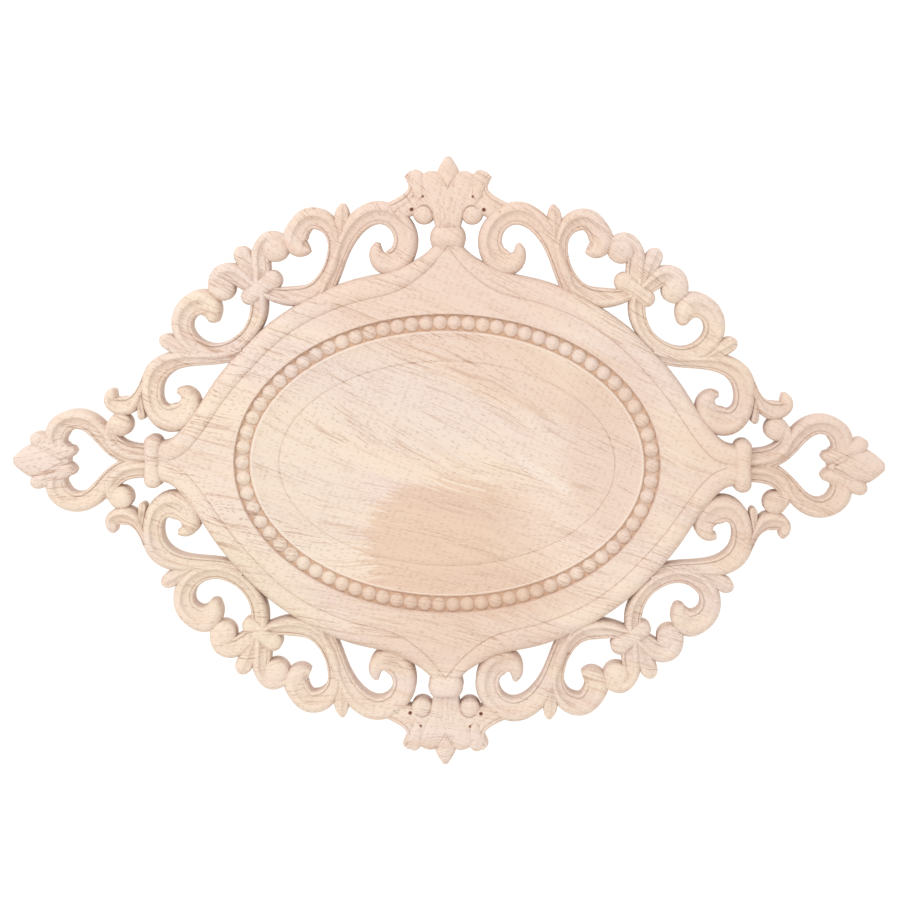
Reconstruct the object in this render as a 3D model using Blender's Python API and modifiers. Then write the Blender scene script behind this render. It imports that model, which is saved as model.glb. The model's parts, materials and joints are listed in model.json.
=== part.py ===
# Carved wood applique: an openwork onlay for a door, a cornice or a piece of furniture.
# X runs along its length, Z is up, the carving faces -Y and the flat back lies on y = 0.
# One quarter is modelled, at +X and +Z, and mirrored to the other three.

import bpy
import bmesh
import numpy as np
from math import cos, pi, radians, sin, tau

MM = 0.001

# Whole piece, mm
LENGTH = 500.0
HEIGHT = 350.0

# Heights of the carving above the back, mm
WALL = 12.5  # sawn edge, square to the back
RIM = 16.5  # rounded roll along the outside of a scroll
HOLLOW = 13.3  # channel beside the roll
LIP = 14.2  # thin lip along the inside of a scroll
LEAF = 16.2
LOBE = 16.0
BALL = 16.6
MOULDING = 18.4
FIELD = 17.4
KNOT = 17.8
BAND = 20.0  # bands that tie the scrolls together
BEHIND = 1.0  # what each shape reaches behind the back before the back is planed flat

# Oval in the middle, half lengths along X and Z, mm
GROOVE_OUTER = (122.3, 86.0)
GROOVE_INNER = (113.2, 76.3)
FILLET_INNER = (111.8, 74.9)
DISH = (96.0, 58.5)
GROOVE_FLOOR = 14.9
FILLET_TOP = 16.6
DISH_FLOOR = 14.7
OVAL_SIDES = 40

# Beads in the groove
BEADS = 74
BEAD_SPREAD = 0.1  # how much wider apart they stand at the ends of the oval
BEAD_ACROSS = 8.8
BEAD_ALONG = 7.9
BEAD_RISE = 2.8
BEAD_SIDES = 5

# How finely a path is divided, and the share of the faces that is kept afterwards
MOST_TURN = radians(40)
MOST_STEP = 40.0
MOST_WIDENING = 4.0
KEPT = 0.7

# Sections across a shape: place from the inside, -1, to the outside, 1, and height
SCROLL = ((-1, LIP), (-0.35, HOLLOW), (0.34, RIM), (1, WALL))
ROUND = ((-1, WALL), (-0.5, RIM), (0.5, RIM), (1, WALL))
PLATE = ((-1, WALL), (-0.8, LOBE), (0.8, LOBE), (1, WALL))
RIDGE = ((-1, WALL), (0, LEAF), (1, WALL))
ROLL = ((-1, FIELD), (-0.4, MOULDING), (0.4, MOULDING), (1, WALL))
TIE = ((-1, WALL), (-0.6, KNOT), (0.6, KNOT), (1, WALL))
COLLAR = ((-1, WALL), (-0.6, BAND), (0.6, BAND), (1, WALL))

# Paths of one quarter: x, z and full width, mm. side is 1 where the roll is on the path's left.
# end is how far a round end reaches past the last point.
PATHS = {
    "crest_scroll": dict(side=-1, shape=SCROLL, knots=(
        (71, 95, 8.6), (65.2, 110.2, 9.4), (60.8, 121.8, 9.6), (54.8, 133.7, 12), (47.8, 140.4, 12.9),
        (39.3, 143.2, 13.4), (30.2, 139.7, 12.6), (24.4, 131, 13.5), (25, 121.8, 14.1),
        (30.3, 115.6, 15.6), (36.5, 115.2, 14.8), (40.6, 118.6, 8), (40.6, 122.8, 6.6),
        (39.9, 126.1, 2.2))),
    "shoulder_scroll": dict(side=1, shape=SCROLL, knots=(
        (107, 99.5, 7.6), (100.5, 96.8, 8.2), (89.5, 95.3, 11.2), (78, 97.8, 10.1), (69.3, 107, 8.2),
        (64.8, 119, 8), (65.6, 131.3, 8.9), (71.9, 138.6, 12), (79.5, 139.4, 12.6),
        (85.6, 133.2, 13.4), (87.2, 126.5, 13.6), (85.3, 122.4, 9), (82, 121.9, 7),
        (78.8, 122.2, 3.2))),
    "upper_curl": dict(side=-1, shape=SCROLL, knots=(
        (108, 98, 6.6), (106.9, 110, 10.8), (107.4, 117, 10.6), (106.2, 123.6, 8.9), (101, 128.6, 8.2),
        (95.8, 128.6, 4.6))),
    "lower_curl": dict(side=1, shape=SCROLL, knots=(
        (110, 99, 7.6), (117, 104.6, 10.2), (123.8, 108.2, 12), (129.4, 106.6, 12.2),
        (133.2, 102, 8.1), (134.5, 97, 4.6))),
    "corner_scroll": dict(side=-1, shape=SCROLL, end=2.7, knots=(
        (108, 97, 9.1), (108.2, 86, 9.6), (113.2, 74.6, 8.6), (122.2, 66.6, 9), (135, 63.3, 9.4),
        (146.3, 67.4, 11.1), (152, 76.5, 11.6), (150.9, 85, 12.4), (144.8, 90.7, 13.9),
        (138.7, 91.5, 14.6), (134.2, 86.8, 9.5), (134.3, 82.6, 6.8))),
    "side_scroll": dict(side=1, shape=SCROLL, knots=(
        (120, 61, 6.6), (133, 59.8, 7.4), (150, 59.2, 9.4), (160.6, 56.6, 11.8), (167.8, 50.2, 12.8),
        (170, 40, 11.6), (167.4, 29.9, 12.4), (161.7, 25.2, 15.4), (154.6, 25.4, 17),
        (148.8, 30.5, 14.1), (148.4, 37, 11), (151.4, 40.3, 6.8), (154.9, 40.9, 3))),
    "hook": dict(side=-1, shape=SCROLL, knots=(
        (171.5, 53, 3.6), (174.5, 45, 4.6), (178, 38.3, 5.1), (183, 32.6, 10), (188.6, 31.8, 10.2),
        (193.8, 34.6, 7.2), (193.2, 39.2, 5.6), (192.6, 41.7, 2))),
    "ball_arm": dict(side=-1, shape=SCROLL, knots=(
        (170, 4.5, 9.6), (180, 5, 9.6), (188, 7.5, 9.6), (193.8, 14, 8.6), (193.8, 20.5, 6.1),
        (192, 26.5, 3.1))),
    "heart_arm": dict(side=1, shape=SCROLL, knots=(
        (170, 1.5, 4.6), (184, 2.2, 7.6), (192.4, 7.2, 8.8), (200.8, 17.4, 10.8), (210.4, 23.7, 11),
        (220, 22.3, 11.8), (225.6, 14.9, 12.2), (223.2, 7.2, 9.2), (218.4, 5.4, 8.2), (214.8, 6.8, 3))),
    "tail": dict(side=1, shape=ROUND, knots=(
        (40, 143.6, 8.6), (29, 147.7, 6.8), (22.8, 152, 6.1), (19.9, 157.5, 5.2), (21.5, 163.6, 4.4),
        (25, 164.6, 2.2))),
    "volute": dict(side=1, shape=ROUND, knots=(
        (3, 136, 4.6), (4.5, 144, 5.1), (9, 148.4, 3.6), (15, 148.6, 2.6))),
    "web": dict(side=1, shape=ROUND, knots=((11, 144, 8.6), (19, 147.5, 11.6), (28, 142.5, 8.6))),
    "inner_lobe": dict(side=1, shape=PLATE, end=5.5, knots=(
        (4, 132, 6.6), (4.5, 146, 9.6), (8.4, 157, 13), (9.6, 161.4, 13.2))),
    "outer_lobe": dict(side=1, shape=PLATE, end=6.4, knots=(
        (9, 144, 6.6), (14.6, 152, 8.2), (17.6, 161.4, 9.2))),
    "upper_bud": dict(side=1, shape=RIDGE, knots=(
        (61, 124, 5.6), (60.6, 138, 8.6), (60.3, 143.5, 7.6), (60, 146, 5.4), (59.9, 148.3, 2))),
    "tie_bud": dict(side=1, shape=RIDGE, end=6.6, knots=(
        (110, 99, 4.6), (113.6, 110, 8.6), (116.9, 117.6, 10.2))),
    "corner_bud": dict(side=1, shape=RIDGE, end=5.5, knots=(
        (146, 61.5, 6.6), (155, 66, 9.1), (160.1, 68.9, 8.8))),
    "small_bud": dict(side=1, shape=RIDGE, end=3, knots=((177, 38, 3.1), (175.9, 27, 4.6))),
    "side_leaf": dict(side=1, shape=RIDGE, end=5.1, knots=(
        (222, 3, 4.6), (230, 9.4, 9.4), (235.6, 12, 8.8))),
    "tip_bud": dict(side=1, shape=RIDGE, knots=(
        (0, 154, 2.6), (0, 163, 12.6), (0, 167.5, 12.2), (0, 171.3, 9), (0, HEIGHT / 2, 3))),
    "tip_leaf": dict(side=1, shape=RIDGE, knots=(
        (215.5, 0, 3.6), (222, 0, 10.6), (233, 0, 19.6), (241, 0, 18.4), (246.6, 0, 10.8),
        (LENGTH / 2, 0, 4.2))),
    "moulding": dict(side=1, shape=ROLL, knots=(
        (-2, 131.5, 6.1), (7, 120.8, 7), (11.1, 116.5, 8), (16.9, 112, 9.4), (30, 104.6, 11.8),
        (48, 100.1, 12.8), (66, 94.2, 12.4), (84, 85.3, 11.6), (101, 73.3, 11.6), (116.3, 58.3, 11.6),
        (129.8, 42.2, 11.1), (139.4, 28, 10.4), (148.9, 15.2, 10.8), (157.5, 7.8, 11.2),
        (172, 6, 10.6))),
    "knot": dict(side=1, shape=TIE, knots=(
        (100.4, 104.6, 8.6), (107.3, 99.6, 7.1), (113.6, 94.8, 8.2))),
    "side_band": dict(side=1, shape=COLLAR, end=4.8, knots=((169.5, -3, 8.6), (169.3, 10.6, 10.4))),
    "stem": dict(side=1, shape=PLATE, knots=((0, 131, 14.6), (0, 145, 12.6), (0, 158, 11.6))),
    "crest_band": dict(side=1, shape=COLLAR, knots=(
        (0, 121, 17.6), (0, 124, 19), (0, 128.5, 20.6), (0, 132.5, 19.4), (0, 135, 16.9),
        (0, 139, 16.9))),
}

# Balls: x, z and radius, mm
BALLS = (
    (98.6, 122.5, 7.8), (129, 99.8, 7.4), (188.2, 21.2, 6.8), (13.7, 142.6, 6.2),
    (100.7, 104.4, 5.8), (113.3, 95.2, 4.9),
)


def clear_scene():
    for obj in list(bpy.data.objects):
        bpy.data.objects.remove(obj, do_unlink=True)


def collection(name, hidden=False):
    made = bpy.data.collections.new(name)
    bpy.context.scene.collection.children.link(made)
    made.hide_render = hidden
    return made


def rubberwood():
    material = bpy.data.materials.new("sanded_rubberwood")
    material.use_nodes = True
    shader = material.node_tree.nodes["Principled BSDF"]
    shader.inputs["Base Color"].default_value = (0.8, 0.63, 0.5, 1)
    shader.inputs["Roughness"].default_value = 0.7
    shader.inputs["Metallic"].default_value = 0.0
    return material


# Natural cubic spline over the distance between the knots, for x, z and width at once
def spline_through(knots, per_span=24):
    knots = np.array(knots, float)
    gaps = np.hypot(*np.diff(knots[:, :2], axis=0).T)
    slopes = np.diff(knots, axis=0) / gaps[:, None]
    rows = np.eye(len(knots))
    bends = np.zeros_like(knots)
    for i in range(1, len(knots) - 1):
        rows[i, i - 1:i + 2] = gaps[i - 1], 2 * (gaps[i - 1] + gaps[i]), gaps[i]
        bends[i] = 6 * (slopes[i] - slopes[i - 1])
    bends = np.linalg.solve(rows, bends)
    points = []
    for i, gap in enumerate(gaps):
        for t in np.linspace(0, gap, per_span, endpoint=False):
            left = gap - t
            bent = (bends[i] * (left**3 - gap**2 * left) + bends[i + 1] * (t**3 - gap**2 * t)) / (6 * gap)
            points.append(knots[i] + slopes[i] * t + bent)
    return np.array(points + [knots[-1]])


# Places along a path, closer together where it turns: x, z, width and heading
def stations(knots):
    fine = spline_through(knots)
    steps = np.gradient(fine[:, :2], axis=0)
    heading = np.unwrap(np.arctan2(steps[:, 1], steps[:, 0]))
    length = np.hypot(*np.diff(fine[:, :2], axis=0).T)
    turn, widening = np.abs(np.diff(heading)), np.abs(np.diff(fine[:, 2]))
    effort = np.maximum(turn / MOST_TURN, widening / MOST_WIDENING) + length / MOST_STEP
    done = np.concatenate([[0], np.cumsum(effort)])
    wanted = np.linspace(0, done[-1], max(2, round(done[-1]) + 1))
    return list(zip(*(np.interp(wanted, done, column) for column in (*fine.T, heading))))


# Further places that round the far end of a path off
def rounded(places, reach):
    x, z, width, heading = places[-1]
    return [
        (x + cos(heading) * reach * sin(a), z + sin(heading) * reach * sin(a), width * cos(a), heading)
        for a in (radians(30), radians(60), radians(85))
    ]


def finish(name, bm, helpers):
    bmesh.ops.recalc_face_normals(bm, faces=bm.faces)
    mesh = bpy.data.meshes.new(name)
    bm.to_mesh(mesh)
    bm.free()
    obj = bpy.data.objects.new(name, mesh)
    obj.hide_render = True
    obj.display_type = "WIRE"
    helpers.objects.link(obj)
    return obj


# The line at one place across a path. In a tight bend it waits instead of stepping back.
def track(places, across):
    line = []
    for x, z, width, heading in places:
        out = across * width / 2
        point = (x - sin(heading) * out, z + cos(heading) * out)
        if line:
            ahead = (point[0] - line[-1][0]) * cos(heading) + (point[1] - line[-1][1]) * sin(heading)
            point = point if ahead > 0 else line[-1]
        line.append(point)
    return line


# A section drawn along a path, open grid first and then closed to a tube with two ends
def sweep(name, helpers, knots, shape, side=1, end=0, behind=BEHIND):
    places = stations(knots)
    lifts = [1.0] * len(places)
    if end:
        places += rounded(places, end)
        lifts += [0.96, 0.86, 0.72]
    outline = [(1, -behind), (-1, -behind), *shape, (1, -behind)]
    lines = [track(places, across * side) for across, _ in outline]
    bm = bmesh.new()
    rows, columns = len(places), len(outline)
    bmesh.ops.create_grid(bm, x_segments=rows - 1, y_segments=columns - 1, size=0.5)
    for vert in bm.verts:
        row, column = round((vert.co.x + 0.5) * (rows - 1)), round((vert.co.y + 0.5) * (columns - 1))
        x, z = lines[column][row]
        high = outline[column][1]
        vert.co = (x * MM, -high * (lifts[row] if high > 0 else 1) * MM, z * MM)
    bmesh.ops.remove_doubles(bm, verts=bm.verts, dist=1e-6)
    bmesh.ops.holes_fill(bm, edges=[edge for edge in bm.edges if edge.is_boundary], sides=0)
    return finish(name, bm, helpers)


# A dome on a straight stalk, spun round its own axis and then made oval and turned
def dome(name, helpers, x, z, across, along, base, rise, heading=0.0, sides=9, arcs=2, low=-BEHIND):
    bm = bmesh.new()
    profile = [bm.verts.new((0, -low, 0)), bm.verts.new((0.5, -low, 0))]
    for i in range(arcs + 1):
        angle = i * pi / 2 / arcs
        profile.append(bm.verts.new((0.5 * cos(angle), -(base + rise * sin(angle)), 0)))
    edges = [bm.edges.new(pair) for pair in zip(profile, profile[1:])]
    bmesh.ops.spin(bm, geom=profile + edges, cent=(0, 0, 0), axis=(0, 1, 0), angle=tau,
                   steps=sides, use_merge=True)
    bmesh.ops.remove_doubles(bm, verts=bm.verts, dist=1e-4)
    for vert in bm.verts:
        u, v = vert.co.x * across, vert.co.z * along
        vert.co = ((x + u * cos(heading) - v * sin(heading)) * MM, vert.co.y * MM,
                   (z + u * sin(heading) + v * cos(heading)) * MM)
    return finish(name, bm, helpers)


# The board inside the moulding: a flat outline given its thickness
def field_board(parts):
    edge = [(x, z) for x, z, _, _ in stations(PATHS["moulding"]["knots"])]
    inside = -3.0
    corners = [(edge[-1][0], inside), (inside, inside), (inside, edge[0][1])]
    data = bpy.data.curves.new("field", "CURVE")
    data.dimensions = "2D"
    data.fill_mode = "BOTH"
    data.extrude = (FIELD + BEHIND / 2) / 2 * MM
    line = data.splines.new("POLY")
    line.use_cyclic_u = True
    outline = [(x, z) for x, z in edge if z > inside and x > inside] + corners
    line.points.add(len(outline) - 1)
    for point, (x, z) in zip(line.points, outline):
        point.co = (x * MM, z * MM, 0, 1)
    curve = bpy.data.objects.new("field_outline", data)
    curve.rotation_euler = (pi / 2, 0, 0)
    curve.location = (0, -(FIELD - BEHIND / 2) / 2 * MM, 0)
    parts.objects.link(curve)
    bpy.context.view_layer.update()
    mesh = bpy.data.meshes.new_from_object(curve.evaluated_get(bpy.context.evaluated_depsgraph_get()))
    bm = bmesh.new()
    bm.from_mesh(mesh)
    bmesh.ops.remove_doubles(bm, verts=bm.verts, dist=1e-6)
    bmesh.ops.transform(bm, matrix=curve.matrix_world, verts=bm.verts)
    bmesh.ops.recalc_face_normals(bm, faces=bm.faces)
    bm.to_mesh(mesh)
    bm.free()
    bpy.data.objects.remove(curve, do_unlink=True)
    obj = bpy.data.objects.new("carved_applique", mesh)
    parts.objects.link(obj)
    return obj


# What is cut out of the board: the bead groove, the fillet inside it and the dished middle
def dish_cutter(cutters):
    above = FIELD + 10
    rings = (
        (GROOVE_OUTER, above), (GROOVE_OUTER, GROOVE_FLOOR), (GROOVE_INNER, GROOVE_FLOOR),
        (GROOVE_INNER, FILLET_TOP), (FILLET_INNER, FILLET_TOP), (DISH, DISH_FLOOR),
    )
    bm = bmesh.new()
    bmesh.ops.create_grid(bm, x_segments=OVAL_SIDES, y_segments=len(rings) - 1, size=0.5)
    for vert in bm.verts:
        angle = round((vert.co.x + 0.5) * OVAL_SIDES) % OVAL_SIDES * tau / OVAL_SIDES
        (half_x, half_z), high = rings[round((vert.co.y + 0.5) * (len(rings) - 1))]
        vert.co = (half_x * cos(angle) * MM, -high * MM, half_z * sin(angle) * MM)
    bmesh.ops.remove_doubles(bm, verts=bm.verts, dist=1e-6)
    bmesh.ops.holes_fill(bm, edges=[edge for edge in bm.edges if edge.is_boundary], sides=0)
    return finish("dish", bm, cutters)


def back_cutter(cutters):
    bm = bmesh.new()
    bmesh.ops.create_cube(bm, size=1)
    depth = 10
    bmesh.ops.scale(bm, vec=(LENGTH * 1.2 * MM, depth * MM, HEIGHT * 1.2 * MM), verts=bm.verts)
    bmesh.ops.translate(bm, vec=(0, depth / 2 * MM, 0), verts=bm.verts)
    return finish("back", bm, cutters)


# Beads along the ellipse in the middle of the groove. The first is halved by the mirror.
def bead_ring(helpers):
    half_x = (GROOVE_OUTER[0] + GROOVE_INNER[0]) / 2
    half_z = (GROOVE_OUTER[1] + GROOVE_INNER[1]) / 2
    angle = np.linspace(0, pi / 2, 721)
    x, z = half_x * np.cos(angle), half_z * np.sin(angle)
    step = np.hypot(np.diff(x), np.diff(z)) * (1 - BEAD_SPREAD * np.cos(angle[1:]) ** 2)
    done = np.concatenate([[0], np.cumsum(step)])
    for i in range(BEADS // 4 + 1):
        at = np.interp(i * 4 / BEADS * done[-1], done, angle)
        outward = np.arctan2(sin(at) / half_z, cos(at) / half_x)
        dome(f"bead_{i}", helpers, half_x * cos(at), half_z * sin(at), BEAD_ACROSS, BEAD_ALONG,
             GROOVE_FLOOR, BEAD_RISE, outward, BEAD_SIDES, arcs=2, low=GROOVE_FLOOR - 3)


# The exact solver leaves slits where a cutter grazes the carving, so those steps use the manifold one
def boolean(obj, name, operation, operands, solver="MANIFOLD"):
    cut = obj.modifiers.new(name, "BOOLEAN")
    cut.operation = operation
    cut.operand_type = "COLLECTION"
    cut.collection = operands
    cut.solver = solver


def thin_out(obj):
    thin = obj.modifiers.new("thinned", "DECIMATE")
    thin.ratio = KEPT


def mirror(obj):
    flip = obj.modifiers.new("quarters", "MIRROR")
    flip.use_axis = (True, False, True)
    flip.use_bisect_axis = (True, False, True)
    flip.bisect_threshold = 1e-6
    flip.merge_threshold = 1e-5


def main():
    clear_scene()
    parts = collection("wood_applique")
    carving = collection("carving", hidden=True)
    beads = collection("beads", hidden=True)
    cutters = collection("cutters", hidden=True)
    back = collection("back", hidden=True)
    applique = field_board(parts)
    for i, (name, path) in enumerate(PATHS.items()):
        sweep(name, carving, behind=BEHIND + 0.05 * i, **path)
    for i, (x, z, radius) in enumerate(BALLS):
        dome(f"ball_{i}", carving, x, z, 2 * radius, 2 * radius, WALL, BALL - WALL,
             low=-BEHIND - 0.07 * (i + 1) - 0.5)
    bead_ring(beads)
    dish_cutter(cutters)
    back_cutter(back)
    boolean(applique, "scrolls", "UNION", carving, solver="EXACT")
    boolean(applique, "dish", "DIFFERENCE", cutters)
    boolean(applique, "back", "DIFFERENCE", back)
    thin_out(applique)
    boolean(applique, "beads", "UNION", beads)
    mirror(applique)
    applique.data.materials.append(rubberwood())


main()
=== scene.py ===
# Carved wood applique: openwork onlay with a beaded oval, shown at its photographed angle.
# One quarter is carved, at +X and +Z, and mirrored to the other three. Lengths are in mm.

import json
from math import cos, pi, radians, sin, tau

import bpy
import bmesh
import numpy as np
from mathutils import Matrix, Vector

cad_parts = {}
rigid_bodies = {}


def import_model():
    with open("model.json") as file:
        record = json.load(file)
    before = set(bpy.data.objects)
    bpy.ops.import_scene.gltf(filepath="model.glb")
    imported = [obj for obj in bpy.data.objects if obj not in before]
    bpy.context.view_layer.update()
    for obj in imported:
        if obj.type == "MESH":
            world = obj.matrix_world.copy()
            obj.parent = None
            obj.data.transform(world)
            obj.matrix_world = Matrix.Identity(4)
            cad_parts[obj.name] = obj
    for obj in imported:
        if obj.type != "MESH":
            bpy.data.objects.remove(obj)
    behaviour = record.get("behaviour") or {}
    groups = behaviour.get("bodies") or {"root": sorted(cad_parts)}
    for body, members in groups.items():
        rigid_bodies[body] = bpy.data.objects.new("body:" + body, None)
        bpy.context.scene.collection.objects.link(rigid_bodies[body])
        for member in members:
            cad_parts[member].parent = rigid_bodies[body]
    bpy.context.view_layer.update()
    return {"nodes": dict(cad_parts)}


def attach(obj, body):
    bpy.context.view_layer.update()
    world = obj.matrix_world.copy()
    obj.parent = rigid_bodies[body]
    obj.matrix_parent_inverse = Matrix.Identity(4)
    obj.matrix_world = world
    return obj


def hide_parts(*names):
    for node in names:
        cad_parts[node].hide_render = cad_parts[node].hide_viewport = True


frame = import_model()
mm = 0.001
print("frame loaded:", ", ".join(frame["nodes"]))


# Values of the carving, mm. Half lengths are along X and Z, and heights are above the back.
carving = {
    "wall": 12.5,                    # top of the sawn edge
    "field": 17.4,                   # board inside the moulding
    "ball": 16.6, "knotBall": 16.2,
    "thin": 8.0, "thinning": 0.7,    # a shape narrower than this is carved lower too
    "stepTurn": radians(9), "stepLength": 4.5, "stepWidening": 2.0,   # how finely a path is divided
    "bendPasses": 8, "bendBeside": 2,    # how often a tight bend is smoothed, and places beside it
    "endLift": 0.3,                  # share of its height that a round end keeps at its tip
    "rings": (                       # the turned middle, from the outside: half lengths and height
        (122.7, 86.4, 25), (122.5, 86.2, 17.4), (122.2, 85.9, 16.4), (121.7, 85.4, 14.9),
        (113.6, 77, 14.9), (113.1, 76.4, 15.8), (112.7, 76, 16.4), (112.2, 75.5, 16.6),
        (111.6, 74.9, 16.3), (110, 73.4, 15.9), (107.6, 71.2, 15.5), (104.4, 67.9, 15.1),
        (100.6, 64, 14.8), (97.2, 60, 14.7), (96.8, 59.4, 14.6), (96.4, 58.9, 14.2), (96, 58.4, 14.6),
        (92, 55, 14.7)),
    "ringSides": 160,
    "lip": (112.2, 75.5),            # the ring at the raised edge inside the groove, half lengths
    "groove": 14.9,                  # height of the groove's floor
    "beadRing": (117.6, 81.2), "beadCount": 74,
    "beadSpread": 0.1,               # how much wider apart beads stand at the ends of the oval
    "beadAcross": 9.6, "beadAlong": 9.0, "beadRise": 2.7, "beadFoot": 0.85,
    "beadSides": 16, "beadArcs": 6, "beadStalk": 3,
    "fieldCrease": (0.45, 0.35, 17.3),   # beside the moulding: half width, depth, height of the surface
    "sharpAngle": radians(38),       # a bend above this stays a crisp edge
}


# A section that is the same on both sides of its middle
def evenly(*half):
    otherHalf = [(across, high) for across, high in half[-2::-1]]
    return [(-across, high) for across, high in half] + otherHalf


# Sections across a shape, from the inside, -1, to the outside, 1, with heights in mm
sections = {
    "scroll": (
        (-1, 12.8), (-0.95, 13.9), (-0.87, 14.5), (-0.78, 14.7), (-0.71, 14.5), (-0.66, 13.6),
        (-0.6, 13.9), (-0.45, 14), (-0.25, 14.05), (-0.05, 14.3), (0.08, 14.9), (0.17, 15.7),
        (0.24, 16.3), (0.36, 16.5), (0.55, 16.2), (0.74, 15.5), (0.89, 14.3), (1, 12.5)),
    "bulb": (
        (-1, 12.5), (-0.95, 13.7), (-0.87, 14.6), (-0.78, 15.2), (-0.71, 15.5), (-0.66, 15.6),
        (-0.6, 15.8), (-0.45, 16.1), (-0.25, 16.35), (-0.05, 16.5), (0.08, 16.6), (0.17, 16.6),
        (0.24, 16.5), (0.36, 16.4), (0.55, 16), (0.74, 15.3), (0.89, 14.3), (1, 12.5)),
    "round": evenly((1, 12.5), (0.93, 14), (0.8, 15.1), (0.55, 15.9), (0.25, 16.3), (0, 16.4)),
    "plate": evenly((1, 12.5), (0.95, 14.4), (0.87, 15.3), (0.65, 15.9), (0.3, 16.1), (0, 16.2)),
    "rimmed": (
        (-1, 12.5), (-0.93, 14), (-0.78, 15.3), (-0.55, 16.1), (-0.36, 16), (-0.24, 15.1), (-0.1, 15.6),
        (0.2, 15.9), (0.5, 15.8), (0.8, 15), (0.93, 14), (1, 12.5)),
    "ridge": evenly(
        (1, 12.5), (0.93, 13.9), (0.8, 14.7), (0.5, 15), (0.22, 15.4), (0.08, 16.2), (0, 16.5)),
    "moulding": (
        (-1, 17.2), (-0.93, 17.5), (-0.8, 17.9), (-0.6, 18.2), (-0.3, 18.4), (0.1, 18.4), (0.4, 18.1),
        (0.66, 17.3), (0.84, 16), (0.95, 14.4), (1, 12.5)),
    "band": evenly((1, 12.5), (0.96, 15), (0.87, 17), (0.74, 18.2), (0.4, 18.8), (0, 18.9)),
    "collar": evenly((1, 12.5), (0.96, 15), (0.87, 17.4), (0.72, 19), (0.4, 19.9), (0, 19.99)),
}

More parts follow.
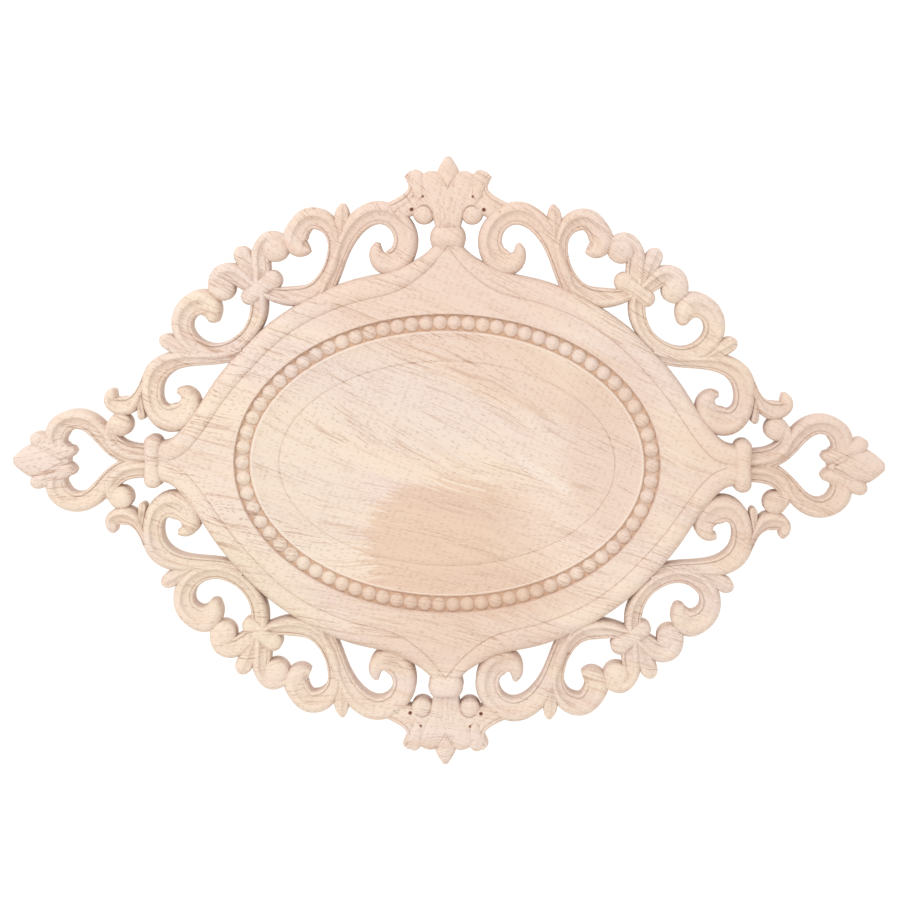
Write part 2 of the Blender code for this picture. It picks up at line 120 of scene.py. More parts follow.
# Paths of one quarter. Knots are x, z and full width, mm. side is 1 where the roll is on the left.
# end is how far a round end reaches on, bulb the length over which the roll swells to a bulb, and lifts
# scales the height above the sawn edge at each knot.
paths = {
    "crestScroll": dict(side=-1, shape="scroll", bulb=15, knots=(
        (71, 95, 8.6), (65.2, 110.2, 9.4), (60.8, 121.8, 9.6), (54.8, 133.7, 12), (47.8, 140.4, 12.9),
        (39.3, 143.2, 13.4), (30.2, 139.7, 12.6), (24.4, 131, 13.5), (25, 121.8, 14.1),
        (30.3, 115.6, 15.4), (34.6, 115, 14.6), (38.4, 116.4, 12), (40.6, 119.4, 8.6), (40.8, 122.8, 6.2),
        (39.9, 126.1, 2.2))),
    "shoulderScroll": dict(side=1, shape="scroll", bulb=14, knots=(
        (107, 99.5, 7.6), (100.5, 96.8, 8.2), (89.5, 95.3, 11.2), (78, 97.8, 10.1), (69.3, 107, 8.2),
        (64.8, 119, 8), (65.6, 131.3, 8.9), (71.9, 138.6, 12), (79.5, 139.4, 12.6),
        (85.6, 133.2, 13.2), (87.3, 127.4, 13.6), (86.2, 123.8, 11.4), (83.6, 121.8, 8.6),
        (81.4, 121.6, 6.2), (78.8, 122.2, 3.2))),
    "upperCurl": dict(side=-1, shape="scroll", bulb=14, knots=(
        (108, 98, 6.6), (106.9, 110, 10.8), (107.4, 117, 10.6), (106.2, 123.6, 8.9), (101, 128.6, 8.2),
        (95.8, 128.4, 5.8), (91.5, 127.2, 4))),
    "lowerCurl": dict(side=1, shape="scroll", bulb=13, knots=(
        (110, 99, 7.6), (117, 104.6, 10.2), (123.8, 108.2, 12), (129.4, 106.6, 12.2),
        (133.2, 102, 8.1), (134.5, 97, 4.6))),
    "cornerScroll": dict(side=-1, shape="scroll", bulb=12, end=2.7, knots=(
        (108, 97, 9.1), (108.2, 86, 9.6), (113.2, 74.6, 8.6), (122.2, 66.6, 9), (135, 63.3, 9.4),
        (146.3, 67.4, 11.1), (152, 76.5, 11.6), (150.9, 85, 12.4), (144.8, 90.7, 13.9),
        (138.7, 91.5, 14.6), (134.2, 86.8, 9.5), (134.3, 82.6, 6.8))),
    "sideScroll": dict(side=1, shape="scroll", bulb=16, knots=(
        (117.2, 63.4, 7.4), (124, 61.2, 7.2), (133, 59.8, 7.4), (150, 59.2, 9.4), (160.6, 56.6, 11.8),
        (167.8, 50.2, 12.8), (170, 40, 11.6), (167.4, 29.9, 12.4), (161.7, 25.4, 15), (154.8, 25.8, 16),
        (149.2, 30.4, 13.8), (148.4, 36.8, 11), (151.4, 40.3, 6.8), (154.9, 40.9, 3))),
    "hook": dict(side=-1, shape="scroll", bulb=6, knots=(
        (171.5, 53, 3.6), (174.5, 45, 4.6), (178, 38.3, 5.1), (183, 32.6, 10), (188.6, 31.8, 10.2),
        (193.8, 34.6, 7.2), (193.2, 39.2, 5.6), (192.6, 41.7, 2))),
    "ballArm": dict(side=-1, shape="scroll", bulb=11, knots=(
        (170, 4.5, 9.6), (180, 5, 9.6), (188, 7.5, 9.6), (193.8, 14, 8.6), (193.5, 20.5, 6),
        (190.6, 26, 2.4))),
    "heartArm": dict(side=1, shape="scroll", bulb=11, knots=(
        (170, 1.5, 4.6), (184, 2.2, 7.6), (192.4, 7.2, 8.8), (200.8, 17.4, 10.8), (210.4, 23.7, 11),
        (220, 22.3, 11.8), (225.6, 14.9, 12.2), (223.2, 7.2, 9.2), (218.4, 5.4, 8.2), (214.8, 6.8, 3))),
    "tail": dict(side=1, shape="rimmed", lifts=(0.2, 0.9, 1, 1, 1, 1), knots=(
        (40, 143.6, 4.6), (29, 147.7, 6.8), (22.8, 152, 6.1), (19.9, 157.5, 5.2), (20.8, 162.4, 6.2),
        (23.2, 165.3, 4.6))),
    "volute": dict(side=1, shape="round", lifts=(1.2, 1.5, 1.7, 1.7, 1.4), knots=(
        (5, 134, 3), (6.6, 140, 3.4), (8.4, 146.2, 3.4), (12.8, 149, 3.2), (18, 147.6, 2.6))),
    "web": dict(side=1, shape="round", lifts=(0.6, 0.75, 0.6, 0.2), knots=(
        (11, 144, 8.6), (19, 147.5, 11.6), (26.5, 143.6, 8.4), (32, 140.5, 4))),
    "innerLobe": dict(side=1, shape="plate", end=5.5, knots=(
        (4, 132, 6.6), (4.5, 146, 9.6), (8.4, 157, 13), (9.6, 161.4, 13.2))),
    "outerLobe": dict(side=1, shape="plate", end=6.4, knots=(
        (9, 144, 6.6), (14.6, 152, 8.2), (17.6, 161.4, 9.2))),
    "upperBud": dict(side=1, shape="ridge", knots=(
        (61, 124, 5.6), (60.6, 138, 8.6), (60.3, 143.5, 7.6), (60, 146, 5.4), (59.9, 148.3, 2))),
    "tieBud": dict(side=1, shape="ridge", end=6.6, knots=(
        (110, 99, 4.6), (113.6, 110, 8.6), (116.9, 117.6, 10.2))),
    "cornerBud": dict(side=1, shape="ridge", end=5.5, knots=(
        (146, 61.5, 6.6), (155, 66, 9.1), (160.1, 68.9, 8.8))),
    "smallBud": dict(side=1, shape="ridge", end=3, knots=((177, 38, 3.1), (175.9, 27, 4.6))),
    "sideLeaf": dict(side=1, shape="round", end=5.1, knots=(
        (222, 3, 4.6), (230, 9.4, 9.4), (235.6, 12, 8.8))),
    "tipBud": dict(side=1, shape="round", knots=(
        (0, 154, 2.6), (0, 163, 12.6), (0, 167.5, 11.7), (0, 171.3, 7.8), (0, 175, 2.8))),
    "tipLeaf": dict(side=1, shape="round", knots=(
        (218, 0, 3), (223, 0, 10.6), (233, 0, 19.6), (241, 0, 18.4), (246.6, 0, 10.8),
        (250, 0, 4.2))),
    "moulding": dict(side=1, shape="moulding", knots=(
        (-2, 131.5, 6.1), (7, 120.8, 7), (11.1, 116.5, 8), (16.9, 112, 9.4), (30, 104.6, 11.8),
        (48, 100.1, 12.8), (66, 94.2, 12.4), (84, 85.3, 11.6), (101, 73.3, 11.6), (116.3, 58.3, 11.6),
        (129.8, 42.2, 11.1), (139.4, 28, 10.4), (148.9, 15.2, 10.8), (157.5, 7.8, 11.2),
        (172, 6, 10.6))),
    "knot": dict(side=1, shape="band", lifts=(0.4, 0.72, 0.4), knots=(
        (100.4, 104.6, 10.2), (107.3, 99.6, 9.4), (113.6, 94.8, 9))),
    "sideBand": dict(side=1, shape="collar", end=4.8, knots=((169.5, -3, 8.6), (169.3, 10.6, 10.4))),
    "stem": dict(side=1, shape="plate", knots=((0, 131, 14.6), (0, 145, 12.6), (0, 158, 11.6))),
    "crestBand": dict(side=1, shape="collar", lifts=(0.45, 0.8, 1, 0.96, 0.86, 0.62), knots=(
        (0, 122.5, 17.4), (0, 125.2, 18.8), (0, 129, 20.4), (0, 132.2, 19.2), (0, 134.2, 17),
        (0, 135.4, 15.2))),
}

# Balls: x, z, radius and the name of their height
balls = (
    (98.6, 122.5, 7.8, "ball"), (129, 99.8, 7.4, "ball"), (188.2, 21.2, 6.8, "ball"),
    (13.7, 142.6, 6.2, "ball"), (100.7, 104.4, 5.8, "knotBall"), (113.3, 95.2, 4.9, "knotBall"),
)

# Fine cuts: the points they pass, x and z, half width, depth and the height of the surface
creases = {
    "budBase": (((6.6, 168.5), (3.4, 162.6), (0, 157.3), (-1, 155.8)), 1.0, 0.9, 16.2),
    "lobeLine": (((14, 152.3), (14.4, 158), (15, 163), (15.4, 168)), 0.6, 0.45, 16.1),
    "voluteLine": (
        ((8.6, 138), (8.8, 142.4), (10.6, 146), (14, 147.2), (17.4, 145.6)), 0.6, 0.7, 15.5),
    "tailLine": (((20.5, 145), (24, 145.4), (27, 144.8), (30, 143.6)), 0.6, 0.6, 15.8),
    "pitLine": (((20.5, 145), (18, 148.6), (14, 152.3)), 0.6, 0.6, 16),
    "innerReed": (((1.5, 135), (1.6, 144), (2.4, 152)), 0.6, 0.35, 16.2),
    "outerReed": (((4.2, 135), (4.0, 144), (5.2, 151)), 0.6, 0.35, 16.2),
    "leafEdge": (((240, 10), (232, 6.4), (225, 2.4), (221, 0.6)), 0.6, 0.45, 15.9),
    "leafVein": (((231.4, 8.2), (224, 4.4), (220, 1.6)), 0.5, 0.35, 16.1),
}

# Drilled pits in the crest: x, z, radius, height of the bottom and the colour of the painted shade in and
# round them
pits = ((20.5, 145, 1.0, 14, "#94684F"), (14.2, 152.4, 0.7, 15, "#B08A72"))


# Natural cubic spline over the distance between the knots
def splineThrough(knots, perSpan=24):
    knots = np.array(knots, float)
    gaps = np.hypot(*np.diff(knots[:, :2], axis=0).T)
    slopes = np.diff(knots, axis=0) / gaps[:, None]
    rows = np.eye(len(knots))
    bends = np.zeros_like(knots)
    for i in range(1, len(knots) - 1):
        rows[i, i - 1:i + 2] = gaps[i - 1], 2 * (gaps[i - 1] + gaps[i]), gaps[i]
        bends[i] = 6 * (slopes[i] - slopes[i - 1])
    bends = np.linalg.solve(rows, bends)
    points = []
    for i, gap in enumerate(gaps):
        for t in np.linspace(0, gap, perSpan, endpoint=False):
            left = gap - t
            bent = bends[i] * (left**3 - gap**2 * left) + bends[i + 1] * (t**3 - gap**2 * t)
            points.append(knots[i] + slopes[i] * t + bent / (6 * gap))
    return np.array(points + [knots[-1]])


# Places along a path: x, z, width, lift, heading and the distance left to its end
def placesAlong(knots, lifts):
    fine = splineThrough([(*knot, lift) for knot, lift in zip(knots, lifts)])
    steps = np.gradient(fine[:, :2], axis=0)
    heading = np.unwrap(np.arctan2(steps[:, 1], steps[:, 0]))
    length = np.hypot(*np.diff(fine[:, :2], axis=0).T)
    run = np.concatenate([[0], np.cumsum(length)])
    turn = np.abs(np.diff(heading)) / carving["stepTurn"]
    widening = np.abs(np.diff(fine[:, 2])) / carving["stepWidening"]
    effort = np.maximum(turn, widening) + length / carving["stepLength"]
    done = np.concatenate([[0], np.cumsum(effort)])
    wanted = np.linspace(0, done[-1], max(2, round(done[-1]) + 1))
    return [np.interp(wanted, done, column) for column in (*fine.T, heading, run[-1] - run)]


# Further places that round the far end of a path off, and lower it towards the sawn edge
def addRoundEnd(places, reach):
    x, z, width, lift, heading, _ = (column[-1] for column in places)
    angles = np.radians(np.arange(12, 90, 12))
    ahead, kept = reach * np.sin(angles), carving["endLift"]
    more = (
        x + cos(heading) * ahead, z + sin(heading) * ahead, width * np.cos(angles),
        lift * (kept + (1 - kept) * np.cos(angles)), heading + 0 * angles, 0 * angles)
    return [np.concatenate(pair) for pair in zip(places, more)]


# Turns the faces outwards and makes an object of them
def finishPiece(name, bm, group):
    bmesh.ops.recalc_face_normals(bm, faces=bm.faces)
    mesh = bpy.data.meshes.new(name)
    bm.to_mesh(mesh)
    bm.free()
    obj = bpy.data.objects.new(name, mesh)
    group.objects.link(obj)
    return obj


# The line at one place across a path, where 1 is the left edge and -1 the right. In a tight bend it waits
# instead of stepping back, and is smoothed there.
def lineAcross(places, across):
    x, z, width, _, heading, _ = places
    aside = across * width / 2
    ideal = np.stack([x - np.sin(heading) * aside, z + np.cos(heading) * aside], 1)
    line = [ideal[0]]
    for point, angle in zip(ideal[1:], heading[1:]):
        ahead = (point[0] - line[-1][0]) * cos(angle) + (point[1] - line[-1][1]) * sin(angle)
        line.append(point if ahead > 0 else line[-1])
    line = np.array(line)
    waited = np.abs(line - ideal).max(axis=1) > 0.01    # mm
    near = np.convolve(waited, np.ones(2 * carving["bendBeside"] + 1), "same")[1:-1, None] > 0
    for _ in range(carving["bendPasses"]):
        line[1:-1] = np.where(near, (line[:-2] + 2 * line[1:-1] + line[2:]) / 4, line[1:-1])
    return line


# A grid bent to a section drawn along a path, and closed to a tube with two ends. Its first two columns
# and its last one run behind the back plane. A bulb swells from 1.5 to 0.5 of its length before the end.
def sweepShape(name, group, knots, shape, side=1, end=0, bulb=0, lifts=None, behind=1.0):
    places = placesAlong(knots, lifts or [1] * len(knots))
    if end:
        places = addRoundEnd(places, end)
    section = np.array(sections[shape], float)
    swollen = np.array(sections["bulb"], float) if bulb else section
    width, lift, left = places[2], places[3], places[5]
    across = [1, -1, *section[:, 0], 1]
    lines = [lineAcross(places, s * side) for s in across]
    bm = bmesh.new()
    rows, columns = len(places[0]), len(across)
    bmesh.ops.create_grid(bm, x_segments=rows - 1, y_segments=columns - 1, size=0.5)
    wall = carving["wall"]
    for vert in bm.verts:
        row = round((vert.co.x + 0.5) * (rows - 1))
        column = round((vert.co.y + 0.5) * (columns - 1))
        x, z = lines[column][row]
        high = -behind
        if 2 <= column < columns - 1:
            share = min(1, max(0, 1.5 - left[row] / bulb)) if bulb else 0
            share = share * share * (3 - 2 * share)
            high = section[column - 2, 1] * (1 - share) + swollen[column - 2, 1] * share
            low = min(1, width[row] / carving["thin"]) ** carving["thinning"]
            high = wall + (high - wall) * lift[row] * low if high > wall else high
        vert.co = (x * mm, -high * mm, z * mm)
    bmesh.ops.remove_doubles(bm, verts=bm.verts, dist=1e-6)
    bmesh.ops.holes_fill(bm, edges=[edge for edge in bm.edges if edge.is_boundary], sides=0)
    return finishPiece(name, bm, group)


# A dome on a straight stalk, spun round its own axis and then made oval and turned. base is the height
# of the dome's foot and low that of the stalk's end. A foot of about 1 lets the dome run out softly.
def domeShape(name, group, x, z, across, along, base, rise, low, heading=0.0, sides=24, arcs=6,
              power=2.0, foot=0.0):
    bm = bmesh.new()
    profile = [bm.verts.new((0, -low, 0)), bm.verts.new((0.5, -low, 0))]
    for i in range(arcs + 1):
        angle = pi / 2 * i / arcs
        if foot:
            reach, high = 1 - i / arcs, sin(angle) ** foot if i < arcs else 1
        else:
            reach, high = cos(angle) ** (2 / power) if i < arcs else 0, sin(angle) ** (2 / power)
        profile.append(bm.verts.new((0.5 * reach, -(base + rise * high), 0)))
    edges = [bm.edges.new(pair) for pair in zip(profile, profile[1:])]
    bmesh.ops.spin(bm, geom=profile + edges, cent=(0, 0, 0), axis=(0, 1, 0), angle=tau,
                   steps=sides, use_merge=True)
    bmesh.ops.remove_doubles(bm, verts=bm.verts, dist=1e-4)
    place = Matrix.Translation((x * mm, 0, z * mm)) @ Matrix.Rotation(-heading, 4, "Y")
    place = place @ Matrix.Diagonal((across * mm, mm, along * mm, 1))
    bmesh.ops.transform(bm, matrix=place, verts=bm.verts)
    return finishPiece(name, bm, group)


# A blade with a V edge that follows a line at one height
def creaseCutter(name, group, line, width, depth, top):
    bm = bmesh.new()
    line = np.array(line, float)
    steps = np.gradient(line, axis=0)
    steps /= np.hypot(*steps.T)[:, None]
    over = 3    # the blade stands this far out of the wood
    outline = ((0, -depth), (-width, 0), (-width, over), (width, over), (width, 0), (0, -depth))
    rows, columns = len(line), len(outline)
    bmesh.ops.create_grid(bm, x_segments=rows - 1, y_segments=columns - 1, size=0.5)
    for vert in bm.verts:
        row = round((vert.co.x + 0.5) * (rows - 1))
        column = round((vert.co.y + 0.5) * (columns - 1))
        across, high = outline[column]
        (x, z), (dx, dz) = line[row], steps[row]
        vert.co = ((x - dz * across) * mm, -(top + high) * mm, (z + dx * across) * mm)
    bmesh.ops.remove_doubles(bm, verts=bm.verts, dist=1e-6)
    bmesh.ops.holes_fill(bm, edges=[edge for edge in bm.edges if edge.is_boundary], sides=0)
    return finishPiece(name, bm, group)


# A plug with the shape of everything that is turned out of the middle
def middleCutter(group):
    bm = bmesh.new()
    rings, sides = carving["rings"], carving["ringSides"]
    bmesh.ops.create_grid(bm, x_segments=sides, y_segments=len(rings) - 1, size=0.5)
    for vert in bm.verts:
        angle = round((vert.co.x + 0.5) * sides) % sides * tau / sides
        halfX, halfZ, high = rings[round((vert.co.y + 0.5) * (len(rings) - 1))]
        vert.co = (halfX * cos(angle) * mm, -high * mm, halfZ * sin(angle) * mm)
    bmesh.ops.remove_doubles(bm, verts=bm.verts, dist=1e-6)
    bmesh.ops.holes_fill(bm, edges=[edge for edge in bm.edges if edge.is_boundary], sides=0)
    return finishPiece("middleCutter", bm, group)


# The beads of one quarter. The first stands on the X axis and is halved by the mirror.
def addBeads(group):
    (halfX, halfZ), floor = carving["beadRing"], carving["groove"]
    angle = np.linspace(0, pi / 2, 721)
    x, z = halfX * np.cos(angle), halfZ * np.sin(angle)
    step = np.hypot(np.diff(x), np.diff(z)) * (1 - carving["beadSpread"] * np.cos(angle[1:]) ** 2)
    done = np.concatenate([[0], np.cumsum(step)])
    for i in range(carving["beadCount"] // 4 + 1):
        at = np.interp(i * 4 / carving["beadCount"] * done[-1], done, angle)
        outward = np.arctan2(sin(at) / halfZ, cos(at) / halfX)
        domeShape(f"bead{i}", group, halfX * cos(at), halfZ * sin(at), carving["beadAcross"],
                  carving["beadAlong"], floor, carving["beadRise"], floor - carving["beadStalk"], outward,
                  carving["beadSides"], carving["beadArcs"], foot=carving["beadFoot"])


def mouldingPlaces():
    knots = paths["moulding"]["knots"]
    return placesAlong(knots, [1] * len(knots))


# The board inside the moulding, from a filled curve along the moulding's middle line
def fieldBoard(group, behind=0.5):
    x, z = mouldingPlaces()[:2]
    inside = -3.0    # past the two planes of the mirror
    data = bpy.data.curves.new("fieldOutline", "CURVE")
    data.dimensions = "2D"
    data.fill_mode = "BOTH"
    data.extrude = (carving["field"] + behind) / 2 * mm
    line = data.splines.new("POLY")
    line.use_cyclic_u = True
    outline = [(a, b) for a, b in zip(x, z) if a > inside and b > inside]
    outline += [(outline[-1][0], inside), (inside, inside), (inside, outline[0][1])]
    line.points.add(len(outline) - 1)
    for point, (a, b) in zip(line.points, outline):
        point.co = (a * mm, b * mm, 0, 1)
    curve = bpy.data.objects.new("fieldOutline", data)
    group.objects.link(curve)
    bpy.context.view_layer.update()
    solid = curve.evaluated_get(bpy.context.evaluated_depsgraph_get())
    bm = bmesh.new()
    bm.from_mesh(bpy.data.meshes.new_from_object(solid))
    bmesh.ops.remove_doubles(bm, verts=bm.verts, dist=1e-6)
    stand = Matrix.Translation((0, -(carving["field"] - behind) / 2 * mm, 0))
    bmesh.ops.transform(bm, matrix=stand @ Matrix.Rotation(pi / 2, 4, "X"), verts=bm.verts)
    bpy.data.objects.remove(curve, do_unlink=True)
    return finishPiece("fieldBoard", bm, group)


# A collection of cutters or shapes for one boolean
def newGroup(name):
    group = bpy.data.collections.new(name)
    bpy.context.scene.collection.children.link(group)
    return group


def addBoolean(obj, name, operation, group):
    cut = obj.modifiers.new(name, "BOOLEAN")
    cut.operation = operation
    cut.operand_type = "COLLECTION"
    cut.collection = group
    cut.solver = "MANIFOLD"


# Every shape of one quarter is joined, the middle is turned out, the back planed and the rest mirrored.
# The hidden ends behind the back are staggered, so that no two of them lie in one plane.
def carveApplique():
    groups = [newGroup(name) for name in ("shapes", "beads", "cutters", "back")]
    shapes, beadGroup, cutters, backGroup = groups
    board = fieldBoard(bpy.context.scene.collection)
    for i, (name, path) in enumerate(paths.items()):
        sweepShape(name, shapes, behind=1.0 + 0.05 * i, **path)
    for i, (x, z, radius, level) in enumerate(balls):
        domeShape(f"ball{i}", shapes, x, z, 2 * radius, 2 * radius, carving["wall"],
                  carving[level] - carving["wall"], -1.5 - 0.07 * (i + 1), power=2.3)
    addBeads(beadGroup)
    middleCutter(cutters)
    innerEdge = lineAcross(mouldingPlaces(), -1.0)[1:-4]
    creaseCutter("fieldCrease", cutters, innerEdge, *carving["fieldCrease"])
    for name, (points, width, depth, top) in creases.items():
        creaseCutter(name, cutters, splineThrough(points, 4), width, depth, top)
    over = 20    # the drills stand out of the wood
    for i, (x, z, radius, bottom, _) in enumerate(pits):
        domeShape(f"pit{i}", cutters, x, z, 2 * radius, 2 * radius, over, 1, bottom, sides=12, arcs=2)
    bm = bmesh.new()
    wide, deep, tall = 0.6, 0.01, 0.5    # the block planed off the back, m
    bmesh.ops.create_cube(bm, size=1)
    bmesh.ops.scale(bm, vec=(wide, deep, tall), verts=bm.verts)
    bmesh.ops.translate(bm, vec=(0, deep / 2, 0), verts=bm.verts)
    finishPiece("backPlane", bm, backGroup)
    addBoolean(board, "joined", "UNION", shapes)
    addBoolean(board, "turned", "DIFFERENCE", cutters)
    addBoolean(board, "planed", "DIFFERENCE", backGroup)
    addBoolean(board, "beaded", "UNION", beadGroup)
    flip = board.modifiers.new("quarters", "MIRROR")
    flip.use_axis = (True, False, True)
    flip.use_bisect_axis = (True, False, True)
    flip.bisect_threshold = 1e-6
    flip.merge_threshold = 1e-5
    bpy.context.view_layer.update()
    carved = board.evaluated_get(bpy.context.evaluated_depsgraph_get())
    mesh = bpy.data.meshes.new_from_object(carved)
    mesh.name = "carvedApplique"
    # The cuts can leave a pair of faces on the same corners, which closes on nothing
    bm = bmesh.new()
    bm.from_mesh(mesh)
    twins = {}
    for face in bm.faces:
        twins.setdefault(frozenset(face.verts), []).append(face)
    doubled = [face for faces in twins.values() if len(faces) > 1 for face in faces]
    bmesh.ops.delete(bm, geom=doubled, context="FACES")
    bm.to_mesh(mesh)
    bm.free()
    for group in groups:
        for obj in list(group.objects):
            bpy.data.objects.remove(obj, do_unlink=True)
        bpy.data.collections.remove(group)
    bpy.data.objects.remove(board, do_unlink=True)
    mesh.shade_smooth()
    mesh.set_sharp_from_angle(angle=carving["sharpAngle"])
    applique = bpy.data.objects.new("carvedApplique", mesh)
    bpy.context.scene.collection.objects.link(applique)
    mesh.calc_loop_triangles()
    print("applique carved:", len(mesh.loop_triangles), "triangles")
    return applique


# An sRGB hex colour as linear values
def fromHex(code):
    parts = [int(code[i:i + 2], 16) / 255 for i in (1, 3, 5)]
    return (*[c / 12.92 if c <= 0.04045 else ((c + 0.055) / 1.055) ** 2.4 for c in parts], 1)


# Adds a node, sets its properties and fills its sockets. A node given as a value links its first output.
def addNode(tree, kind, sockets=(), **settings):
    node = tree.nodes.new("ShaderNode" + kind)
    for name, value in settings.items():
        setattr(node, name, value)
    for socket, value in (sockets.items() if isinstance(sockets, dict) else enumerate(sockets)):
        value = value.outputs[0] if isinstance(value, bpy.types.Node) else value
        if isinstance(value, bpy.types.NodeSocket):
            tree.links.new(value, node.inputs[socket])
        else:
            node.inputs[socket].default_value = value
    return node


# Rubberwood, glued up, carved and sanded but not finished. To the eye it is matt and pale, from cream to
# pinkish tan: soft streaks run along the grain, with fine darker lines and short brown pore dashes. The
# walls, which turn away from the front, get a pinker, darker and plainer tint that is painted shade. The
# groove's floor beside the beads and the pits are painted browner as shade of these hollows, and a paler
# ring on the lip beside the groove is a painted highlight.
# Sizes of patterns are length, depth and width in mm. Rubberwood's pores are 0.2 mm wide and are drawn
# up to 0.3 mm, so that they show.
wood = {
    "grainTurn": radians(-20),       # the grain runs down to the right
    "waves": (150, 60, 55), "grainBend": 40.0,   # slow waves, and how far they push the grain aside, mm
    "grainFan": 0.0016,              # how much steeper the grain runs for each mm up
    "broad": (130, 40, 22), "broadRange": (0.38, 0.62),     # light and dark growth
    "bands": (110, 20, 4.5), "bandRange": (0.48, 0.75), "bandStrength": 0.6,
    "zones": (70, 25, 12),           # where lines and pores are denser
    "lines": (28, 4, 0.7), "lineRange": (0.57, 0.67),
    "jags": (34, 8, 1.9),            # teeth at the edges of the patches
    "pores": (3.5, 0.38, 0.38),      # cell of one pore
    "poreSize": 0.36, "poreStrength": 0.42,
    "cream": "#D9C7B5", "pale": "#D6C4B9", "tan": "#CBB09C", "line": "#B3947E", "pore": "#97725D",
    # The wall colour is painted shade on the sides turned away from the front
    "wall": "#D3BCAF", "wallShadeStrength": 0.6,
    # Painted shade on the groove's floor, and a painted highlight on the lip
    "groove": "#C3A085", "grooveShadeStrength": 0.85, "lip": "#E6D9CC", "lipHighlightStrength": 0.4,
    "grooveShadeReach": 0.06, "lipHighlightReach": 0.006, "shadeBesideBeads": (0.01, 0.034),   # shares of the oval's size
    "lowRange": (1.3, 0.2),          # above the groove's floor, mm
    "frontRange": (6, 10),           # heights between which the colours of the front begin, mm
    "roughness": 0.72, "ior": 1.45, "specular": 0.3, "bump": 0.35, "bumpHeight": 0.2,   # height in mm
}

# Patches of tone: colour, strength, middle x and z, half length and half width, mm, turn in degrees,
# how ragged the grain makes the edge and how soft it is
patches = (
    ("#D3C3B9", 0.6, -27, 36, 52, 28, 20, 1.0, 0.25), ("#CBAC94", 0.62, 10, -50, 58, 40, 8, 0.9, 0.035),
    ("#D8C4B4", 0.7, 84, -34, 46, 44, 20, 0.8, 0.45), ("#CFB49F", 0.45, 44, 50, 66, 18, 19, 1.6, 0.2),
    ("#D5C6B6", 0.6, -84, -16, 34, 52, 0, 1.0, 0.4), ("#D6C6B0", 0.6, -120, -70, 60, 22, 33, 1.0, 0.3),
    ("#CDB4A6", 0.5, 96, 10, 28, 56, 0, 1.2, 0.3), ("#CBAF9D", 0.5, 6, -76, 74, 16, 0, 1.0, 0.3),
    ("#CBB09F", 0.5, 10, -104, 70, 16, 0, 1.0, 0.3), ("#DDD0C4", 0.5, 56, -6, 20, 3, 34, 0.6, 0.3),
    ("#D3B9A9", 0.6, 0, 120, 90, 60, 0, 1.0, 0.3), ("#CEB4A2", 0.4, 200, 0, 70, 70, 0, 1.0, 0.3),
)


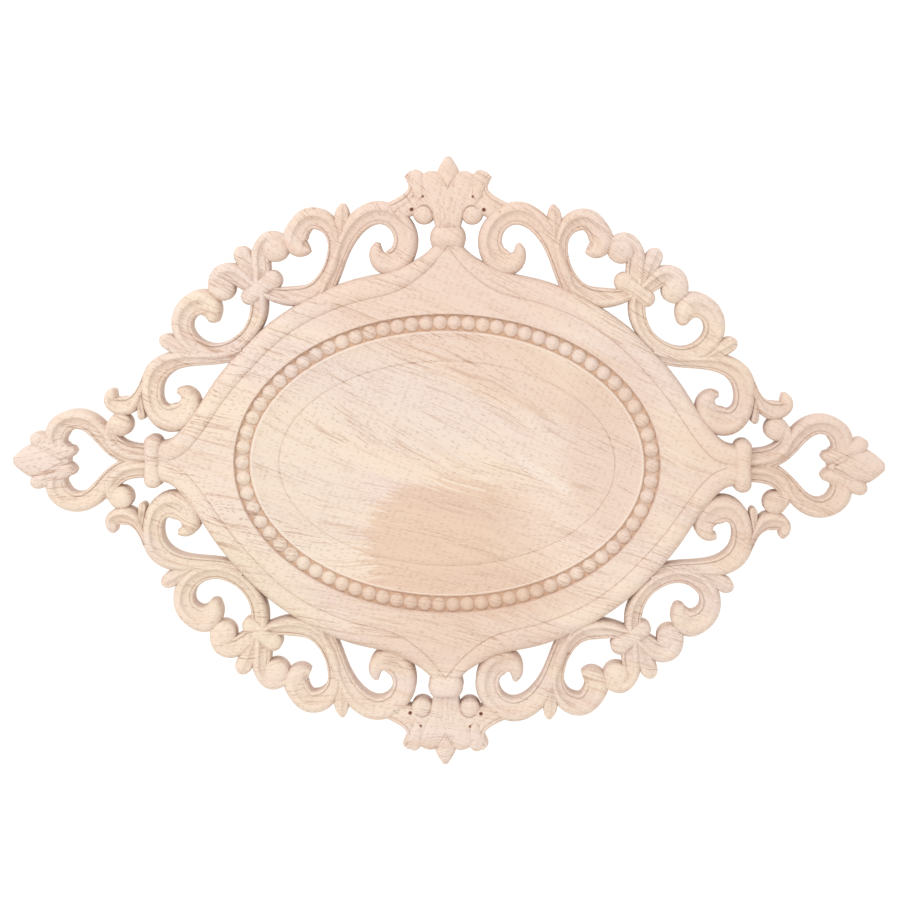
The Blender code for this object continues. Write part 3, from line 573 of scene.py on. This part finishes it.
def rubberwood():
    material = bpy.data.materials.new("sandedRubberwood")
    material.use_nodes = True
    tree = material.node_tree
    tree.nodes.clear()
    smooth = {"interpolation_type": "SMOOTHSTEP"}
    place = addNode(tree, "TexCoord").outputs["Object"]

    # The grain: turned, pushed aside by slow waves and fanned out upwards
    along = addNode(tree, "Mapping", {
        "Vector": place, "Rotation": (0, wood["grainTurn"], 0), "Scale": (1 / mm, 1 / mm, 1 / mm)})
    slow = addNode(tree, "Mapping", {"Vector": along, "Scale": [1 / size for size in wood["waves"]]})
    wave = addNode(tree, "TexNoise", {"Vector": slow, "Scale": 1.0, "Detail": 1.5})
    spot = addNode(tree, "SeparateXYZ", (along,)).outputs
    fan = addNode(tree, "Math", (spot["X"], spot["Z"]), operation="MULTIPLY")
    push = addNode(tree, "Math", (wave, wood["grainBend"], 0), operation="MULTIPLY_ADD")
    push = addNode(tree, "Math", (fan, wood["grainFan"], push), operation="MULTIPLY_ADD")
    shift = addNode(tree, "CombineXYZ", {"Z": push})
    grain = addNode(tree, "VectorMath", (along, shift), operation="ADD")

    # Noise drawn out along the grain
    def streaks(sizes, detail, rough):
        drawn = addNode(tree, "Mapping", {"Vector": grain, "Scale": [1 / size for size in sizes]})
        return addNode(tree, "TexNoise", {
            "Vector": drawn, "Scale": 1.0, "Detail": detail, "Roughness": rough})

    # A colour turned to a tone as far as its strength and all masks let it
    def tint(colour, tone, strength, *masks):
        for mask in masks:
            strength = addNode(tree, "Math", (mask, strength), operation="MULTIPLY")
        sockets = {0: strength, 6: colour, 7: fromHex(tone)}
        return addNode(tree, "Mix", sockets, data_type="RGBA").outputs[2]

    # How far out a place is on an oval, where 1 is on it
    def reachOn(halfX, halfZ):
        scale = (1 / (halfX * mm), 0, 1 / (halfZ * mm))
        scaled = addNode(tree, "VectorMath", (folded, scale), operation="MULTIPLY")
        return addNode(tree, "VectorMath", (scaled,), operation="LENGTH").outputs["Value"]

    # Growth, bands and patches
    broad = streaks(wood["broad"], 2.5, 0.55)
    bands = streaks(wood["bands"], 3, 0.6)
    zones = streaks(wood["zones"], 2, 0.6)
    fine = streaks(wood["lines"], 1.0, 0.5)
    jags = streaks(wood["jags"], 2, 0.55)
    growth = addNode(tree, "MapRange", (broad, *wood["broadRange"]), **smooth)
    banding = addNode(tree, "MapRange", (bands, *wood["bandRange"]), **smooth)
    colour = tint(fromHex(wood["cream"]), wood["pale"], 1, growth)
    colour = tint(colour, wood["tan"], wood["bandStrength"], banding)
    for tone, strength, x, z, reach, across, turn, ragged, soft in patches:
        inside = addNode(tree, "Mapping", {
            "Vector": place, "Location": (x * mm, 0, z * mm), "Rotation": (0, radians(turn), 0),
            "Scale": (reach * mm, 1, across * mm)}, vector_type="TEXTURE")
        away = addNode(tree, "VectorMath", (inside,), operation="LENGTH").outputs["Value"]
        away = addNode(tree, "Math", (jags, ragged, away), operation="MULTIPLY_ADD")
        edge = 1 + ragged / 2
        patch = addNode(tree, "MapRange", (away, edge + soft, edge - soft), **smooth)
        colour = tint(colour, tone, strength, patch)

    # Fine lines, which show more on slopes than on what faces the front
    normal = addNode(tree, "NewGeometry").outputs["True Normal"]
    facing = addNode(tree, "SeparateXYZ", (normal,)).outputs["Y"]
    lines = addNode(tree, "MapRange", (fine, *wood["lineRange"]), **smooth)
    dense = addNode(tree, "MapRange", (zones, 0.4, 0.57, 0.3, 1), **smooth)
    sloped = addNode(tree, "MapRange", (facing, -0.9995, -0.98, 0.5, 0.8), **smooth)
    colour = tint(colour, wood["line"], 1, lines, dense, sloped)

    # Pore dashes, in some of the cells of a stretched Voronoi pattern
    cell = addNode(tree, "Mapping", {"Vector": grain, "Scale": [1 / size for size in wood["pores"]]})
    pores = addNode(tree, "TexVoronoi", {"Vector": cell, "Scale": 1.0})
    chance = addNode(tree, "SeparateColor", {"Color": pores.outputs["Color"]})
    empty = addNode(tree, "MapRange", (zones, 0.35, 0.62, 0.7, 0.25), **smooth)
    present = addNode(tree, "Math", (chance, empty), operation="GREATER_THAN")
    outer, inner = wood["poreSize"] * 1.15, wood["poreSize"] * 0.6
    dash = addNode(tree, "MapRange", (pores.outputs["Distance"], outer, inner), **smooth)
    pore = addNode(tree, "Math", (present, dash), operation="MULTIPLY")
    colour = tint(colour, wood["pore"], wood["poreStrength"], pore)

    # Painted shade on the groove's floor beside the beads and in the pits, a painted highlight on the lip;
    # front only
    folded = addNode(tree, "VectorMath", (place,), operation="ABSOLUTE")
    high = addNode(tree, "SeparateXYZ", (folded,)).outputs["Y"]
    behind, ahead = (height * mm for height in wood["frontRange"])
    front = addNode(tree, "MapRange", (high, behind, ahead), **smooth)
    above, floor = ((carving["groove"] + height) * mm for height in wood["lowRange"])
    low = addNode(tree, "MapRange", (high, above, floor), **smooth)
    ring = reachOn(*carving["beadRing"])
    inGrooveShade = addNode(tree, "Math", (ring, 1.0, wood["grooveShadeReach"]), operation="COMPARE")
    aside = addNode(tree, "Math", (ring, 1.0), operation="SUBTRACT")
    aside = addNode(tree, "Math", (aside,), operation="ABSOLUTE")
    shadeBesideBeads = addNode(tree, "MapRange", (aside, *wood["shadeBesideBeads"], 0.15, 1), **smooth)
    # Painted shade: the groove's floor beside the beads is tinted browner
    colour = tint(colour, wood["groove"], wood["grooveShadeStrength"], front, low, inGrooveShade, shadeBesideBeads)
    # Painted highlight: a paler ring on the lip's edge beside the groove
    onLipHighlight = addNode(tree, "Math", (reachOn(*carving["lip"]), 1.0, wood["lipHighlightReach"]), operation="COMPARE")
    colour = tint(colour, wood["lip"], wood["lipHighlightStrength"], front, onLipHighlight)
    flat = addNode(tree, "VectorMath", (folded, (1, 0, 1)), operation="MULTIPLY")
    # Painted shade in and round each drilled pit
    for x, z, radius, _, tone in pits:
        middle = (x * mm, 0, z * mm)
        away = addNode(tree, "VectorMath", (flat, middle), operation="DISTANCE").outputs["Value"]
        pitShade = addNode(tree, "MapRange", (away, (radius + 0.5) * mm, (radius - 0.2) * mm), **smooth)
        colour = tint(colour, tone, 1, front, pitShade)

    # Painted shade: the walls, which turn away from the front, are tinted pinker, darker and plainer
    side = addNode(tree, "MapRange", (facing, -0.75, -0.1), **smooth)
    colour = tint(colour, wood["wall"], wood["wallShadeStrength"], side)

    raised = addNode(tree, "Math", (fine, 0.5), operation="MULTIPLY")
    height = addNode(tree, "Math", (raised, pore), operation="SUBTRACT")
    bump = addNode(tree, "Bump", {
        "Height": height, "Strength": wood["bump"], "Distance": wood["bumpHeight"] * mm})
    shader = addNode(tree, "BsdfPrincipled", {
        "Base Color": colour, "Normal": bump, "Roughness": wood["roughness"], "IOR": wood["ior"],
        "Specular IOR Level": wood["specular"]})
    addNode(tree, "OutputMaterial", {"Surface": shader})
    return material


applique = carveApplique()
applique.data.materials.clear()
applique.data.materials.append(rubberwood())
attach(applique, "root")
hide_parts("carved_applique")
print("wood finished")

# Camera a little to the right of the middle and above it, turned slightly, in degrees and mm. It looks at
# the point at the given depth.
view = {"azimuth": 1.795, "elevation": 5.68, "roll": 0.246, "distance": 1389.0, "depth": -8.0,
        "lens": 96.5, "shift": (0.00333, 0.0143)}


def placeCamera():
    a, e, r = (radians(view[name]) for name in ("azimuth", "elevation", "roll"))
    ahead = Vector((-sin(a) * cos(e), cos(a) * cos(e), -sin(e)))
    right = Vector((cos(a), sin(a), 0))
    up = right.cross(ahead)
    right, up = right * cos(r) + up * sin(r), up * cos(r) - right * sin(r)
    data = bpy.data.cameras.new("camera")
    data.lens = view["lens"]
    data.sensor_width = 36
    data.shift_x, data.shift_y = view["shift"]
    camera = bpy.data.objects.new("camera", data)
    turned = Matrix((right, up, -ahead)).transposed().to_4x4()
    centre = Vector((0, view["depth"] * mm, 0))
    camera.matrix_world = Matrix.Translation(centre - ahead * view["distance"] * mm) @ turned
    bpy.context.scene.collection.objects.link(camera)
    bpy.context.scene.camera = camera


# Soft studio light: bright surroundings, and a large lamp from the upper left, in W and m
studio = {"sky": 1.2, "lampPower": 10.5, "lampSize": 0.9, "lampPlace": (-0.9, -1.2, 1.1),
          "floorLevel": -0.6, "floorSize": 40, "floorColour": "#F4F2EF"}


def setStudio():
    world = bpy.data.worlds.new("studio")
    bpy.context.scene.world = world
    world.use_nodes = True
    sky = world.node_tree.nodes["Background"].inputs
    sky["Color"].default_value = fromHex("#FFFFFF")
    sky["Strength"].default_value = studio["sky"]
    data = bpy.data.lights.new("lamp", "AREA")
    data.energy = studio["lampPower"]
    data.size = studio["lampSize"]
    lamp = bpy.data.objects.new("lamp", data)
    place = Vector(studio["lampPlace"])
    lamp.matrix_world = Matrix.Translation(place) @ place.to_track_quat("Z", "Y").to_matrix().to_4x4()
    bpy.context.scene.collection.objects.link(lamp)
    bm = bmesh.new()
    bmesh.ops.create_grid(bm, x_segments=1, y_segments=1, size=studio["floorSize"])
    bmesh.ops.translate(bm, vec=(0, 0, studio["floorLevel"]), verts=bm.verts)
    floor = finishPiece("floor", bm, bpy.context.scene.collection)
    material = bpy.data.materials.new("paleFloor")
    material.use_nodes = True
    shader = material.node_tree.nodes["Principled BSDF"]
    shader.inputs["Base Color"].default_value = fromHex(studio["floorColour"])
    shader.inputs["Roughness"].default_value = 0.9
    floor.data.materials.append(material)
    bpy.context.scene.view_settings.view_transform = "Standard"


placeCamera()
setStudio()
print("camera and studio set")
